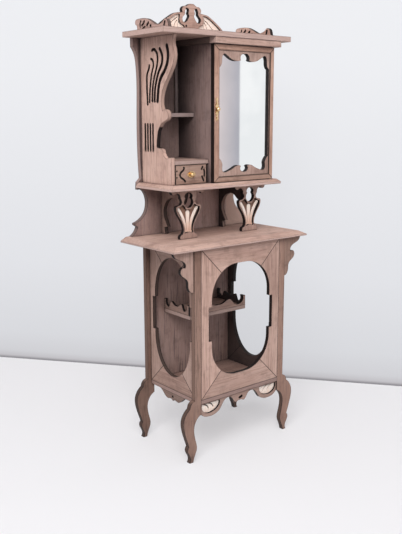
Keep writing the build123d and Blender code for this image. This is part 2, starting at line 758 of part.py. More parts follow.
overlay_slits = (
    ((-0.48, 0.76), (-0.49, 0.56), (-0.66, 0.28), (-0.735, 0), (-0.67, -0.26), (-0.49, -0.5), (-0.4, -0.72)),
    ((0.76, 0.74), (0.7, 0.5)),
    ((0.85, 0.46), (0.885, 0.1), (0.87, -0.24)),
    ((0.72, -0.28), (0.83, -0.74)),
)
with BuildPart() as drawer_overlay:
    with BuildSketch(front_plane(side_front - overlay_stock, drawer_middle_x, drawer_middle_z)):
        Rectangle(drawer_right - drawer_left, drawer_high - drawer_low)
        for stops in overlay_slits:
            add(slit(overlay_slit, *[overlay_point(*stop) for stop in stops]), mode=Mode.SUBTRACT)
        with Locations(overlay_point(-0.93, 0.42), overlay_point(-0.93, -0.26)):
            Circle(overlay_eye_radius, mode=Mode.SUBTRACT)
        Circle(knob_stem_radius + knob_clearance, mode=Mode.SUBTRACT)
    extrude(amount=-overlay_stock)
finish(drawer_overlay, "drawer_overlay")


def turned_knob(place, radius, stem, reach):
    """Half section of a ball with a flat back, its centre forward of its place by the reach."""
    flat_radius = (radius**2 - (reach - stem) ** 2) ** 0.5
    with BuildSketch(Plane(origin=place, x_dir=(1, 0, 0), z_dir=(0, 0, 1))) as sketch:
        with BuildLine():
            back_lines = Polyline((0, 0), (knob_stem_radius, 0), (knob_stem_radius, -stem),
                                  (flat_radius, -stem))
            ball = ThreePointArc(back_lines @ 1, (radius, -reach), (0, -reach - radius))
            Line(ball @ 1, back_lines @ 0)
        make_face()
    return sketch.sketch


knob_place = (drawer_middle_x, case_front + side_front, drawer_middle_z)
knob_plate_front = side_front - overlay_stock - knob_plate_stock
with BuildPart() as drawer_knob:
    add(turned_knob(knob_place, knob_radius, knob_stem, knob_reach))
    revolve(axis=Axis(knob_place, (0, 1, 0)))
    with BuildSketch(front_plane(knob_plate_front, drawer_middle_x, drawer_middle_z)):
        with BuildLine():
            for side in (-1, 1):
                ThreePointArc((-knob_plate_width / 2, 0), (0, side * knob_plate_height / 2),
                              (knob_plate_width / 2, 0))
        make_face()
    extrude(amount=-knob_plate_stock)
finish(drawer_knob, "drawer_knob")

# ---- door: four mitred members, a fret, a mirror, a brass pull and two hinge pins ----
fret_width = door_width - 2 * door_stile
fret_height = door_height - 2 * door_rail

with BuildPart() as door_blank:
    with BuildSketch(Plane.XY.offset(door_low)):
        with Locations(((door_left + hinge_x) / 2, case_front + hinge_depth)):
            Rectangle(hinge_x - door_left, door_stock)
        with Locations((hinge_x, case_front + hinge_depth)):
            Circle(door_stock / 2)
    extrude(amount=door_height)
    with BuildSketch(front_plane(door_front, door_middle_x, door_middle_z)):
        Rectangle(fret_width, fret_height)
    extrude(amount=-door_stock, mode=Mode.SUBTRACT)
    with Locations((hinge_x, case_front + hinge_depth, door_low),
                   (hinge_x, case_front + hinge_depth, door_high)):
        Cylinder(hinge_pin_radius + hinge_seat, 2 * pin_in_door, mode=Mode.SUBTRACT)

for member, kind in (("top", "rail"), ("bottom", "rail"), ("left", "stile"), ("right", "stile")):
    with BuildPart() as door_member:
        add(door_blank)
        with BuildSketch(front_plane(door_front, door_middle_x, door_middle_z)):
            add(frame_members((member,), door_width, door_height, door_stile, door_rail))
        extrude(amount=-door_stock, mode=Mode.INTERSECT)
    finish(door_member, f"door_{member}_{kind}")


def fret_point(x, z):
    """Point of the fret, as shares of the half width inside its band and of its half height."""
    return ((fret_width / 2 - fret_band) * x, fret_height / 2 * z)


with BuildSketch() as fret_half:
    with BuildLine():
        middle_line = Line(fret_point(0, 0.962), fret_point(0, -0.94))
        low_notch = Spline(middle_line @ 1, fret_point(0.1, -0.93), fret_point(0.16, -0.888),
                           fret_point(0.125, -0.85))
        low_lobe = Spline(low_notch @ 1, fret_point(0.2, -0.83), fret_point(0.33, -0.842),
                          fret_point(0.475, -0.882), fret_point(0.61, -0.91), fret_point(0.735, -0.93),
                          fret_point(0.81, -0.932))
        low_scroll = Spline(low_lobe @ 1, fret_point(0.87, -0.905), fret_point(0.885, -0.855),
                            fret_point(0.875, -0.8), fret_point(0.9, -0.765), fret_point(0.955, -0.72),
                            fret_point(1, -0.7))
        side_line = Line(low_scroll @ 1, fret_point(1, 0.735))
        high_scroll = Spline(side_line @ 1, fret_point(0.945, 0.76), fret_point(0.905, 0.81),
                             fret_point(0.9, 0.87), fret_point(0.87, 0.925), fret_point(0.8, 0.95))
        high_lobe = Spline(high_scroll @ 1, fret_point(0.69, 0.92), fret_point(0.57, 0.88),
                           fret_point(0.44, 0.853), fret_point(0.3, 0.845), fret_point(0.16, 0.862))
        Spline(high_lobe @ 1, fret_point(0.18, 0.91), fret_point(0.13, 0.95), middle_line @ 0)
    make_face()

with BuildPart() as door_fret:
    with BuildSketch(front_plane(door_front + fret_recess, door_middle_x, door_middle_z)):
        Rectangle(fret_width, fret_height)
        add(both_sides(fret_half.sketch), mode=Mode.SUBTRACT)
    extrude(amount=-fret_stock)
finish(door_fret, "door_fret")

with BuildPart() as door_mirror:
    with BuildSketch(front_plane(door_front + fret_recess + fret_stock, door_middle_x, door_middle_z)):
        Rectangle(fret_width, fret_height)
    extrude(amount=-mirror_stock)
finish(door_mirror, "door_mirror")

pull_x = door_left + door_stile / 2
pull_z = door_low + pull_rise
with BuildSketch() as pull_half:
    with BuildLine():
        spine = Line((0, -pull_height / 2), (0, pull_height / 2))
        pull_edge = [(0.55, 0.4), (0.35, 0.3), (1, 0.15), (0.75, 0), (1, -0.15), (0.35, -0.3), (0.55, -0.4)]
        Spline(spine @ 1, *[(pull_width / 2 * x, pull_height * z) for x, z in pull_edge], spine @ 0)
    make_face()

pull_place = (pull_x, case_front + door_front - pull_stock, pull_z)
with BuildPart() as door_pull:
    with BuildSketch(front_plane(door_front, pull_x, pull_z)):
        add(both_sides(pull_half.sketch))
    extrude(amount=pull_stock)
    add(turned_knob(pull_place, pull_knob_radius, pull_knob_stem, pull_knob_reach))
    revolve(axis=Axis(pull_place, (0, 1, 0)))
finish(door_pull, "door_pull")

with BuildPart() as door_hinge_pins:
    for end, outward in ((door_low, -1), (door_high, 1)):
        start = (hinge_x, case_front + hinge_depth, end - outward * pin_in_door)
        with BuildSketch(Plane(origin=start, z_dir=(0, 0, outward))):
            Circle(hinge_pin_radius)
        extrude(amount=pin_in_door + pin_reach)
finish(door_hinge_pins, "door_hinge_pins")

# ---- cornice over the door box, drilled for the upper hinge pin ----
cornice_left = divider_face - cornice_left_stock
cornice_right = half_upper + cornice_right_stock
with BuildPart() as cornice_front:
    slab((cornice_left, cornice_right), (cornice_face, box_front), (cornice_under, top_under))
    with BuildSketch(Plane.XY.offset(cornice_under)):
        with Locations((hinge_x, case_front + hinge_depth)):
            Circle(hinge_hole_radius)
    extrude(amount=pin_in_board + pin_end_gap, mode=Mode.SUBTRACT)
finish(cornice_front, "cornice_front")

with BuildPart() as cornice_returns:
    slab((cornice_left, divider_face), (box_front, upper_back_front), (cornice_under, top_under))
    slab((half_upper, cornice_right), (box_front, upper_back_front), (cornice_under, top_under))
finish(cornice_returns, "cornice_returns")

# ---- top board and its crests ----
with BuildPart() as top_board:
    slab((-top_width / 2, top_width / 2), (top_front, upper_rear), (top_under, top_face))
finish(top_board, "top_board")


def crest_point(x, share):
    """Point of the centre crest, as shares of its half length and of its height."""
    return (crest_reach * x, top_face + crest_height * share)


def crest_fan(margin):
    """Fields under the two arms of the crest, drawn smaller by the margin."""
    stops = drawn_in(margin, crest_point(0.88, 0.07), crest_point(0.77, 0.29), crest_point(0.656, 0.425),
                     crest_point(0.53, 0.545), crest_point(0.42, 0.635), crest_point(0.31, 0.66),
                     crest_point(0.323, 0.54), crest_point(0.318, 0.44), crest_point(0.276, 0.365),
                     crest_point(0.21, 0.33), crest_point(0.175, 0.22), crest_point(0.17, 0.07))
    with BuildSketch() as sketch:
        with BuildLine():
            arm = Spline(*stops[:6])
            inner_edge = Spline(*stops[5:])
            Line(inner_edge @ 1, arm @ 0)
        make_face()
    return both_sides(sketch.sketch)


with BuildSketch() as crest_half:
    with BuildLine():
        foot_line = Line(crest_point(0, 1), crest_point(0, 0))
        base_line = Line(foot_line @ 1, crest_point(1, 0))
        arm_curve = Spline(base_line @ 1, crest_point(0.825, 0.305), crest_point(0.7, 0.45),
                           crest_point(0.54, 0.605), crest_point(0.42, 0.69), crest_point(0.32, 0.715),
                           crest_point(0.237, 0.735))
        lobe = Spline(arm_curve @ 1, crest_point(0.25, 0.83), crest_point(0.19, 0.92),
                      crest_point(0.14, 0.915))
        Spline(lobe @ 1, crest_point(0.115, 0.94), crest_point(0.062, 0.99), foot_line @ 0,
               tangents=((-0.6, 0.8), (-1, 0)))
    make_face()
    with BuildLine():
        Spline(crest_point(0.115, 0.865), crest_point(0.073, 0.775), crest_point(0.086, 0.705),
               crest_point(0.065, 0.638), crest_point(0.083, 0.56), crest_point(0.135, 0.455),
               crest_point(0.19, 0.42), crest_point(0.24, 0.485), crest_point(0.238, 0.57),
               crest_point(0.198, 0.635), crest_point(0.174, 0.69), crest_point(0.174, 0.76),
               crest_point(0.156, 0.82), periodic=True)
    make_face(mode=Mode.SUBTRACT)

with BuildPart() as centre_crest:
    with BuildSketch(front_plane(upper_back_front)):
        add(both_sides(crest_half.sketch))
        with Locations(crest_point(-0.145, 0.315)):
            Circle(crest_eye_radius, mode=Mode.SUBTRACT)
    extrude(amount=-panel_stock)
    with BuildSketch(front_plane(upper_back_front)):
        add(crest_fan(0))
    extrude(amount=-pocket_depth, mode=Mode.SUBTRACT)
finish(centre_crest, "centre_crest")

fan_ribs = (
    ((0.35, 0.57), (0.43, 0.49), (0.515, 0.39), (0.6, 0.26), (0.68, 0.12)),
    ((0.35, 0.47), (0.4, 0.41), (0.435, 0.3), (0.45, 0.12)),
    ((0.32, 0.42), (0.335, 0.36), (0.335, 0.12)),
)
with BuildPart() as crest_inlays:
    with BuildSketch(front_plane(upper_back_front + inlay_recess)):
        add(crest_fan(inlay_fit))
        for stops in fan_ribs:
            add(both_sides(slit(inlay_rib, *[crest_point(*stop) for stop in stops])), mode=Mode.SUBTRACT)
    extrude(amount=-inlay_stock)
finish(crest_inlays, "crest_inlays")


def ridge_point(share, rise):
    """Point of a side crest, forward from the back end and up from the top board."""
    return (upper_rear - side_crest_length * share, top_face + side_crest_rise * rise)


ridge_slits = (
    (ridge_fine_slit, (0.195, 0.8), (0.17, 0.56), (0.172, 0.36)),
    (ridge_slit, (0.292, 0.74), (0.27, 0.61), (0.226, 0.47)),
    (ridge_fine_slit, (0.315, 0.36), (0.25, 0.24)),
    (ridge_slit, (0.41, 0.6), (0.37, 0.42)),
    (ridge_slit, (0.868, 0.5), (0.855, 0.28)),
)
with BuildSketch() as side_crest_sketch:
    with BuildLine():
        back_lines = Polyline(ridge_point(0.99, 0), ridge_point(0.06, 0), ridge_point(0.08, 0.28),
                              ridge_point(0.07, 0.52))
        hump = Spline(back_lines @ 1, ridge_point(0.022, 0.73), ridge_point(0.035, 0.9),
                      ridge_point(0.09, 0.985), ridge_point(0.175, 1), ridge_point(0.275, 0.985),
                      ridge_point(0.366, 0.925), ridge_point(0.45, 0.78), ridge_point(0.545, 0.575),
                      ridge_point(0.625, 0.41), ridge_point(0.68, 0.36))
        Spline(hump @ 1, ridge_point(0.75, 0.42), ridge_point(0.815, 0.54), ridge_point(0.86, 0.7),
               ridge_point(0.91, 0.67), ridge_point(0.945, 0.5), ridge_point(0.965, 0.2), back_lines @ 0)
    make_face()
    for width, *stops in ridge_slits:
        add(slit(width, *[ridge_point(*stop) for stop in stops]), mode=Mode.SUBTRACT)
    with Locations(ridge_point(0.475, 0.35)):
        Circle(ridge_eye_radius, mode=Mode.SUBTRACT)

for side, inner_face in (("left", -side_crest_face), ("right", side_crest_face - trim_stock)):
    with BuildPart() as side_crest:
        with BuildSketch(side_plane(inner_face)):
            add(side_crest_sketch)
        extrude(amount=trim_stock)
    finish(side_crest, f"side_crest_{side}")

print(piece_count, "pieces written")
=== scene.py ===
import json
import math

import bmesh
import bpy
from mathutils import Matrix, Vector


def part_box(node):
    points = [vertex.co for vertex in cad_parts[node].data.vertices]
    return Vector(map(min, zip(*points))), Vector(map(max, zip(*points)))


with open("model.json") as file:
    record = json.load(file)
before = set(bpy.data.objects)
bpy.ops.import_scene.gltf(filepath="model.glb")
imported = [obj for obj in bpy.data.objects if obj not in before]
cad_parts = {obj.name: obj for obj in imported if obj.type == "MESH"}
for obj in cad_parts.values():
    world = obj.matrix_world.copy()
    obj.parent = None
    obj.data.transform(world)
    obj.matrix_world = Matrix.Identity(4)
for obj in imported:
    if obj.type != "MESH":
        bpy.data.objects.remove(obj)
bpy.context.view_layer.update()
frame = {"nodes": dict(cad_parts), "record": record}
nodes = frame["nodes"]
mm = 0.001
print("frame loaded,", len(nodes), "pieces")

scene = bpy.context.scene
scene.view_settings.view_transform = "Standard"

view = {
    "place": (-0.19399, -0.22862, 0.13515),
    "turn": -0.68319,       # to the right of straight ahead
    "dip": 0.20403,         # down from level
    "roll": -0.00205,
    "lens": 50.044,
    "sensor": 36.0,
    "nearest": 0.01,
}
cameraData = bpy.data.cameras.new("camera")
cameraData.lens = view["lens"]
cameraData.sensor_width = view["sensor"]
cameraData.clip_start = view["nearest"]
camera = bpy.data.objects.new("camera", cameraData)
camera.location = view["place"]
turn = Matrix.Rotation(view["turn"], 3, "Z")
dip = Matrix.Rotation(math.pi / 2 - view["dip"], 3, "X")
roll = Matrix.Rotation(view["roll"], 3, "Z")
camera.rotation_euler = (turn @ dip @ roll).to_euler()
scene.collection.objects.link(camera)
scene.camera = camera
print("camera set")


class Val:
    # a value in a node tree, so that shader maths reads as plain sums
    def __init__(self, paint, socket):
        self.paint = paint
        self.socket = socket

    def math(self, operation, *others):
        return self.paint.node("ShaderNodeMath", {"operation": operation}, self, *others)

    def __add__(self, other):
        return self.math("ADD", other)

    __radd__ = __add__

    def __sub__(self, other):
        return self.math("SUBTRACT", other)

    def __rsub__(self, other):
        return self.paint.node("ShaderNodeMath", {"operation": "SUBTRACT"}, other, self)

    def __mul__(self, other):
        return self.math("MULTIPLY", other)

    __rmul__ = __mul__

    def __truediv__(self, other):
        return self.math("DIVIDE", other)

    def __pow__(self, other):
        return self.math("POWER", other)

    def __abs__(self):
        return self.math("ABSOLUTE")

    def lower(self, other):
        return self.math("MINIMUM", other)

    def upper(self, other):
        return self.math("MAXIMUM", other)

    def step(self, low, high):
        # 0 below low, 1 above high, smooth between
        return self.paint.node("ShaderNodeMapRange", {"interpolation_type": "SMOOTHSTEP"},
                               **{"Value": self, "From Min": low, "From Max": high})

    def between(self, low, high, fade):
        # rises to 1 over a fade that starts at low, and falls over one that starts at high
        return self.step(low, low + fade) * (1.0 - self.step(high, high + fade))


class Paint:
    # the node tree of a material or of the world
    def __init__(self, owner):
        owner.use_nodes = True
        self.owner = owner
        self.tree = owner.node_tree
        self.tree.nodes.clear()
        self.made = {}

    def node(self, kind, settings=None, *inputs, out=None, **named):
        # out names one output or several; without it, the first that is in use comes back
        made = self.tree.nodes.new(kind)
        for key, value in (settings or {}).items():
            if key == "stops":
                self.colourStops(made.color_ramp, value)
            else:
                setattr(made, key, value)
        for index, value in enumerate(inputs):
            self.feed(made.inputs[index], value)
        for key, value in named.items():
            self.feed(next(s for s in made.inputs if s.name == key and s.enabled), value)
        if isinstance(out, str):
            return Val(self, made.outputs[out])
        if out:
            return [Val(self, made.outputs[name]) for name in out]
        usable = [s for s in made.outputs if s.enabled]
        return Val(self, usable[0]) if usable else None

    def colourStops(self, ramp, stops):
        while len(ramp.elements) < len(stops):
            ramp.elements.new(0.5)
        for element, (place, colour) in zip(ramp.elements, stops):
            element.position = place
            element.color = tone(colour)

    def feed(self, socket, value):
        if isinstance(value, Val):
            self.tree.links.new(value.socket, socket)
        else:
            socket.default_value = value

    def once(self, name, make):
        if name not in self.made:
            self.made[name] = make()
        return self.made[name]

    def place(self):
        return self.once("place", lambda: self.node("ShaderNodeTexCoord", out="Object"))

    def apart(self, vector):
        return self.node("ShaderNodeSeparateXYZ", None, vector, out=("X", "Y", "Z"))

    def axis(self, index):
        # how far along an axis a point of the piece is, in millimetres
        places = self.once("places", lambda: [part / mm for part in self.apart(self.place())])
        return places[index]

    def facing(self, index):
        # how squarely the surface faces an axis of the piece
        normal = self.once("normal", lambda: self.apart(self.node("ShaderNodeTexCoord", out="Normal")))
        return normal[index]

    def faces(self, index, way=None, faint=0.5, full=0.7):
        # 1 on faces turned along an axis (way 1) or against it (way -1), or on both without a way
        squareness = self.facing(index) * way if way else abs(self.facing(index))
        return squareness.step(faint, full)

    def noise(self, scale, detail, rough, shift=(0.0, 0.0, 0.0)):
        # scale is in waves per metre along each axis
        place = self.node("ShaderNodeMapping", None, self.place(), Location=shift, Scale=scale)
        return self.node("ShaderNodeTexNoise", None, Vector=place, Scale=1.0, Detail=detail, Roughness=rough)

    def mix(self, share, first, second, blend="MIX"):
        return self.node("ShaderNodeMix", {"data_type": "RGBA", "blend_type": blend},
                         Factor=share, A=tone(first), B=tone(second))

    def ramp(self, value, stops):
        return self.node("ShaderNodeValToRGB", {"stops": stops}, value)

    def arris(self, radius, faint=0.01, full=0.2):
        # 1 along the sharp edges of the piece, 0 on its faces
        rounded = self.node("ShaderNodeBevel", {"samples": 4}, Radius=radius)
        plain = self.node("ShaderNodeNewGeometry", out="Normal")
        alike = self.node("ShaderNodeVectorMath", {"operation": "DOT_PRODUCT"}, rounded, plain, out="Value")
        return (1.0 - alike).step(faint, full)

    def nook(self, reach):
        # 1 deep in corners and between close pieces, 0 in the open
        return 1.0 - self.node("ShaderNodeAmbientOcclusion", {"samples": 6}, Distance=reach, out="AO")

    def bump(self, height, distance, strength):
        return self.node("ShaderNodeBump", None, Strength=strength, Distance=distance, Height=height)

    def surface(self, **named):
        shader = self.node("ShaderNodeBsdfPrincipled", None, **named)
        self.node("ShaderNodeOutputMaterial", None, shader)
        return self.owner


def newPaint(name):
    return Paint(bpy.data.materials.new(name))


def tone(colour):
    # sRGB 0-255 to the linear colour that a socket takes; a link passes through
    if isinstance(colour, Val):
        return colour
    linear = [(c / 255 / 12.92) if c <= 10 else ((c / 255 + 0.055) / 1.055) ** 2.4 for c in colour]
    return (*linear, 1.0)


def dress(piece, material):
    slots = piece.data.materials
    if len(slots) == 0:
        slots.append(material)
    for index in range(len(slots)):
        slots[index] = material


def extent(node, axis):
    # lowest and highest point of a node along an axis, in millimetres
    low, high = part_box(node)
    return low[axis] / mm, high[axis] / mm


def sizeOf(node, axis):
    low, high = extent(node, axis)
    return high - low


# walnut sheet: grain along one axis, sawn or burnt cut edges
walnut = {
    "bands": ((0.37, (165, 133, 120)), (0.5, (189, 156, 142)), (0.62, (203, 171, 157))),
    # its patterns, in waves per metre
    "lines": {"across": 1512.0, "along": 54.6, "detail": 3.0, "rough": 0.6},
    "fine": {"across": 3600.0, "along": 130.0, "detail": 2.0, "rough": 0.7},
    "cloud": {"across": 90.0, "along": 26.0, "detail": 2.0, "rough": 0.5},
    "smudge": {"across": 240.0, "along": 240.0, "detail": 5.0, "rough": 0.65},
    "uneven": {"across": 700.0, "along": 700.0, "detail": 3.0, "rough": 0.6},
    "shift": (0.37, 0.71, 0.53),        # from one piece's pattern to the next one's
    # what they draw on a face: levels between which it comes, strength and colour
    "pores": (0.5, 0.72),
    "poreShare": 0.45,
    "pore": (104, 80, 73),
    "smudges": (0.48, 0.7),
    "smudgeShare": 0.3,
    "streaks": (0.5, 0.68),
    "streak": (62, 47, 44),
    # burnt cut edges
    "burn": (30, 19, 17),
    "char": (8, 6, 6),
    "charPower": 3.0,                   # how late a cut darkens towards its arrises
    "charUneven": 0.9,
    "clean": (189, 156, 142),           # a cut that is hardly burnt
    "cleanFade": 1.5,                   # millimetres over which a cut turns clean
    "corePower": 4.0,                   # how far the brown core of a lightly burnt cut reaches
    # sawn cut edges
    "sawn": (198, 168, 157),
    "sawnPores": (0.45, 0.7),
    "sawnPoreShare": 0.35,
    "sawnRim": (0.86, 1.0),             # shares of the half thickness between which the rim darkens
    "sawnRimShare": 0.5,
    # the scorched line along every arris
    "arris": 0.00045,                   # its width in metres
    "arrisShare": 0.5,
    "arrisUneven": 0.6,
    "burntArris": 0.9,
    "sawnArris": 0.7,
    # lines, pockets, painted shade and painted light, their lengths in millimetres
    "innerLine": (0.25, 0.6),
    "pocketDepth": (0.5, 0.8),
    "pocketShare": 0.8,
    "mitreLine": (0.06, 0.3),
    "rimLine": (0.1, 0.35),
    "rimShare": 0.7,
    "mitreShare": 0.85,
    "patchFade": (1.0, 10.0),           # across and up
    # colours of the painted light and painted shadow
    "pale": (236, 202, 184),
    "smoke": (38, 31, 33),
    "shadowDepth": (-2.0, 17.0),         # painted shade on left faces, growing from the front towards the back
    "bevelFacing": (0.3, 0.6),          # how squarely a bevel faces left as its shade comes
    # painted shade in corners and along seams, its lengths in metres
    "shadeColour": (26, 22, 24),
    "nook": 0.018,                      # how far out from a corner the painted shade reaches
    "nookLevels": (0.35, 1.0),
    "nookShare": 0.85,
    "seam": 0.0011,                     # and the painted shadow line where two pieces meet
    "seamLevels": (0.22, 0.65),
    "seamShare": 0.85,
    # gloss
    "rough": 0.6,
    "roughUneven": 0.14,
    "relief": 0.00006,
    "reliefShare": 0.35,
    "specular": 0.22,
    "gamma": 2.2,                       # turns a share of the light into one of a colour's numbers
}
usual = {
    "across": None,         # axis across the sheet, its thinnest side unless given
    "grain": None,          # axis along the grain, its longest side unless given
    "shade": 1.0,           # how light the sheet is against the rest: its own tone, and painted shade on pieces inside and under the case
    # warm tints are the wood's own; cool ones give painted shade on inner pieces a greyer hue
    "tint": (1.0, 1.0, 1.0),
    "streak": 0.0,          # how strongly dark streaks run along the grain
    "burnt": True,          # cut edges are burnt, else sawn
    "scorch": 1.0,          # how burnt the middle of a cut is
    "clean": None,          # heights between which a cut is hardly burnt, and by how much
    "scroll": None,         # the stretch of its cut that is cleaner than the rest
    "innerLine": None,      # shadow along an edge: axis across it, low or high end, share
    "pocket": None,         # colour of the wood under the inlays
    "patches": (),          # painted shade and light on the front: reach across, reach in height, share, colour
    "smoked": None,         # painted shade on the left face: share at the front and at the back
    "leftBevel": 0.0,       # painted shade: how much darker what faces left is
}
legTint = (1.0, 0.965, 0.94)
doorTint = (1.0, 0.965, 0.93)
sheets = {                  # what sets each sheet apart, from the floor up
    "leg_front_left": {
        "shade": 0.6, "tint": legTint, "streak": 0.45, "scorch": 0.75, "clean": (24.0, 90.0, 0.5),
    },
    "leg_front_right": {"shade": 0.7, "tint": legTint, "streak": 0.45, "scorch": 0.75},
    "leg_back_left": {
        "shade": 0.44, "tint": legTint, "streak": 0.45, "scorch": 0.75, "clean": (24.0, 90.0, 0.6),
    },
    "leg_back_right": {"shade": 0.5, "tint": legTint, "streak": 0.45, "scorch": 0.8},
    "bottom_board": {"shade": 0.6, "tint": (1.0, 0.98, 0.98), "burnt": False},
    "front_top_rail": {"shade": 1.1, "streak": 0.25},
    "front_bottom_rail": {"shade": 0.97, "streak": 0.12},
    "front_left_stile": {"shade": 1.1},
    "left_frame_rails": {"grain": 1, "shade": 0.8, "scorch": 0.85},
    "left_frame_stiles": {"shade": 0.75, "scorch": 0.85},
    "right_frame_rails": {"grain": 1, "smoked": (0.9, 0.9)},
    "right_frame_stiles": {"smoked": (0.9, 0.9)},
    "lower_back_panel": {"shade": 0.78, "tint": (0.97, 0.975, 1.0), "streak": 0.6},
    "front_apron": {"shade": 0.75, "pocket": (40, 26, 22)},
    "side_apron_left": {"shade": 0.45},
    "side_apron_right": {"shade": 0.6},
    "inner_shelf": {"shade": 0.75, "burnt": False},
    "gallery_front": {"shade": 0.75, "streak": 0.3},
    "gallery_left": {"shade": 0.65},
    "gallery_right": {"shade": 0.65, "smoked": (0.9, 0.9)},
    "bracket_left": {"shade": 0.85},
    "bracket_right": {"shade": 0.6, "tint": (1.0, 0.98, 0.96)},
    "table_top": {"streak": 0.32, "burnt": False, "leftBevel": 0.16},
    "baluster_left": {"shade": 0.85, "pocket": (128, 92, 72)},
    "baluster_right": {"shade": 0.85, "pocket": (110, 78, 62)},
    "upper_back_panel": {
        "shade": 1.16,
        "tint": (0.955, 0.968, 1.0),
        "streak": 0.3,
        "scorch": 0.7,
        "clean": (107.0, 170.0, 0.35),
        "patches": (
            ((-25.5, -6.5), (131.0, 170.0), 0.6, "smoke"),      # painted shade at the top of the niche
            ((-26.9, -25.5), (105.0, 170.0), 0.8, "smoke"),     # painted shadow line beside the side panel
            ((-40.5, -26.5), (75.0, 170.0), 0.35, "smoke"),     # painted shade on the left wing
            ((-26.5, -8.5), (75.0, 101.0), 0.25, "smoke"),      # painted shade in the gap over the table top
            ((17.9, 39.5), (75.0, 107.0), 0.9, "pale"),         # painted light on the right wing
        ),
    },
    "support_bracket_left": {"shade": 0.75, "scorch": 0.85},
    "support_bracket_right": {"shade": 0.85, "scorch": 0.3, "smoked": (0.9, 0.9)},
    "base_board": {"streak": 0.15, "burnt": False},
    "side_panel_left": {
        "shade": 1.08,
        "clean": (100.0, 120.0, 1.0),
        "scroll": {"behind": 3.5, "lean": 7.8, "heights": (141.2, 155.5), "fade": 0.3, "share": 0.75},
    },
    "side_panel_right": {"shade": 0.75, "burnt": False},
    "divider": {
        "shade": 0.66, "tint": (0.95, 0.96, 1.0), "streak": 0.35, "scorch": 0.8, "smoked": (0.18, 0.8),
    },
    "open_shelf": {"shade": 0.64, "tint": (0.94, 0.97, 1.0), "burnt": False},
    "corner_batten": {"across": 0, "shade": 0.6, "tint": (0.92, 0.96, 1.0), "burnt": False},
    "drawer_housing_top": {"shade": 0.8, "burnt": False},
    "top_board": {"shade": 0.92, "burnt": False},
    "cornice_front": {"across": 1, "burnt": False},
    # painted shade: dark so the left return reads shaded
    "cornice_returns": {"shade": 0.4, "burnt": False},
    "centre_crest": {"pocket": (96, 66, 54)},
    "side_crest_left": {"tint": (0.97, 0.98, 1.0), "scorch": 0.75},
    "door_top_rail": {"shade": 1.1, "tint": doorTint, "innerLine": (2, 0, 0.4)},
    "door_bottom_rail": {"shade": 0.66, "tint": doorTint, "innerLine": (2, 1, 0.55)},
    "door_left_stile": {"tint": doorTint},
    "door_right_stile": {"tint": doorTint, "innerLine": (0, 0, 0.85)},
    "door_fret": {"shade": 0.85},
    "drawer_front": {
        # painted shadow: near-black front under the overlay so its slits read dark
        "shade": 0.5, "burnt": False, "patches": (((-40.5, -0.5), (95.0, 125.0), 0.97, "char"),),
    },
    "drawer_overlay": {"shade": 0.68, "tint": (1.0, 0.985, 0.96)},
    "drawer_walls": {"across": 0, "burnt": False},
    "drawer_floor": {"burnt": False},
}
doorLean = sizeOf("door_left_stile", 0) / sizeOf("door_top_rail", 2)
mitredFrames = [            # pieces, axis along them, and how far a mitre runs in for each millimetre up
    (["front_top_rail", "front_bottom_rail", "front_left_stile", "front_right_stile"], 0, 1.0),
    (["left_frame_rails", "left_frame_stiles"], 1, 1.0),
    (["right_frame_rails", "right_frame_stiles"], 1, 1.0),
    (["door_top_rail", "door_bottom_rail", "door_left_stile", "door_right_stile"], 0, doorLean),
]


def figure(paint, kind, grain, shift):
    # one of the wood's patterns, drawn out along the grain
    pattern = walnut[kind]
    scale = [pattern["across"]] * 3
    scale[grain] = pattern["along"]
    return paint.noise(scale, pattern["detail"], pattern["rough"], shift)


def grainFace(paint, look, lines, fine, cloud, smudge):
    face = paint.ramp(lines * 0.5 + cloud * 0.5, walnut["bands"])
    face = paint.mix(fine.step(*walnut["pores"]) * walnut["poreShare"], face, walnut["pore"])
    face = paint.mix(smudge.step(*walnut["smudges"]) * walnut["smudgeShare"], face, walnut["pore"])
    if look["streak"]:
        face = paint.mix(lines.step(*walnut["streaks"]) * look["streak"], face, walnut["streak"])
    return face


def burntCut(paint, look, through, uneven):
    # through goes from 0 in the middle of the thickness to 1 at both faces
    charred = through ** walnut["charPower"] + (uneven - 0.5) * walnut["charUneven"]
    cut = paint.mix(charred, walnut["burn"], walnut["char"])
    if look["clean"]:
        low, high, share = look["clean"]
        clean = paint.axis(2).between(low, high, walnut["cleanFade"])
        cut = paint.mix(clean * share, cut, walnut["clean"])
    if look["scorch"] < 1.0:
        core = 1.0 - through ** walnut["corePower"]
        cut = paint.mix(core * (1.0 - look["scorch"]), cut, walnut["clean"])
    if look["scroll"]:
        # the scrolled front is cleaner than the slits behind it
        scroll = look["scroll"]
        line = scroll["behind"] - scroll["lean"] * paint.axis(2).step(*scroll["heights"])
        front = (line - paint.axis(1)).step(-scroll["fade"], scroll["fade"])
        cut = paint.mix(front * scroll["share"], cut, walnut["clean"])
    return cut


def sawnCut(paint, through, fine):
    pores = fine.step(*walnut["sawnPores"]) * walnut["sawnPoreShare"]
    cut = paint.mix(pores, walnut["sawn"], walnut["pore"])
    return paint.mix(through.step(*walnut["sawnRim"]) * walnut["sawnRimShare"], cut, walnut["burn"])


def mitreLines(paint, group, along, lean):
    # dark lines along the mitres and round the rim of a frame
    inset = []
    for axis in (along, 2):
        low = min(extent(name, axis)[0] for name in group)
        high = max(extent(name, axis)[1] for name in group)
        inset.append((high - low) / 2 - abs(paint.axis(axis) - (low + high) / 2))
    side, end = inset
    mitre = 1.0 - abs(side - end * lean).step(*walnut["mitreLine"])
    rim = 1.0 - side.lower(end).step(*walnut["rimLine"])
    return mitre.upper(rim * walnut["rimShare"])


